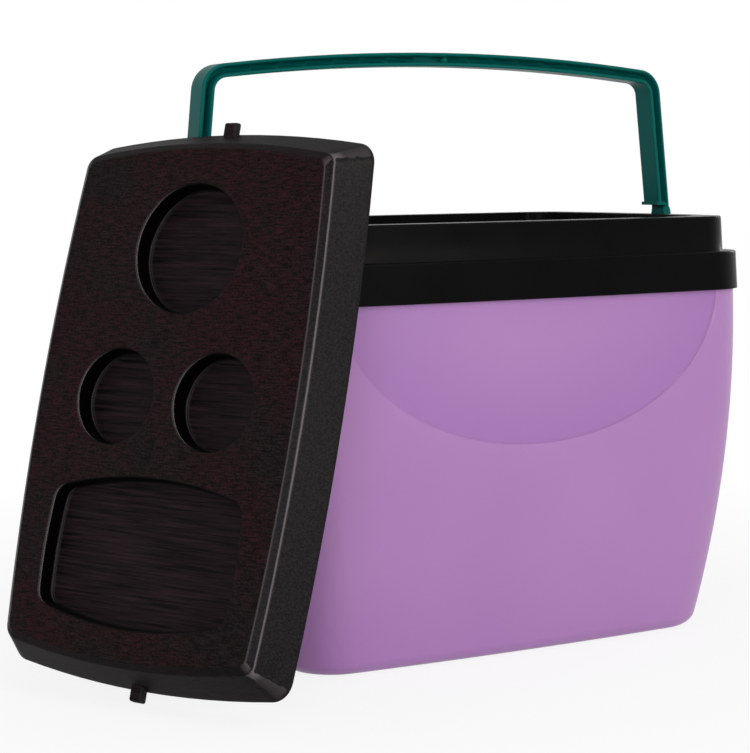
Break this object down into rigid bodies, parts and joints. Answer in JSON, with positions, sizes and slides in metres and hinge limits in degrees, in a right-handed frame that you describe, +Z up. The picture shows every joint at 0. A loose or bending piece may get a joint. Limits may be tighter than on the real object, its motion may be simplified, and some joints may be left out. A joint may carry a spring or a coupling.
{
  "type": "vaccine carrier",
  "caption": "Insulated carry box with a bellied shell, black rim, fold-over bail handle and a lift-off lid with cup wells and a tray, shown leaning on the box.",
  "frame": {"origin": "middle of the box's flat base", "axes": "+Z up, +X along the box's length towards its right end, -Y towards the front; the leaning lid is outside the front left corner"},
  "size_m": [0.476, 0.2901, 0.3663],
  "materials": {
    "shell_plastic": "satin",
    "rim_plastic": "satin",
    "liner_plastic": "satin",
    "foam": "matte",
    "handle_plastic": "satin",
    "lid_plastic": "matte",
    "lid_liner_plastic": "satin"
  },
  "bodies": {
    "box": {"outer_shell": "shell_plastic", "rim_collar": "rim_plastic", "inner_liner": "liner_plastic", "body_foam": "foam", "pivot_pin_left": "rim_plastic", "pivot_pin_right": "rim_plastic"},
    "bail": {"handle": "handle_plastic"},
    "lid": {"lid_cover": "lid_plastic", "lid_liner": "lid_liner_plastic", "lid_foam": "foam"}
  },
  "joints": [
    {"name": "handle_fold", "type": "hinge", "parent": "box", "child": "bail", "pos_m": [0, 0, 0.2522], "axis": [-1, 0, 0], "range_deg": [-8, 77]},
    {"name": "lid_lift", "type": "slide", "parent": "box", "child": "lid", "axis": [-0.8588, -0.4263, 0.284], "range_m": [0, 0.12]}
  ]
}
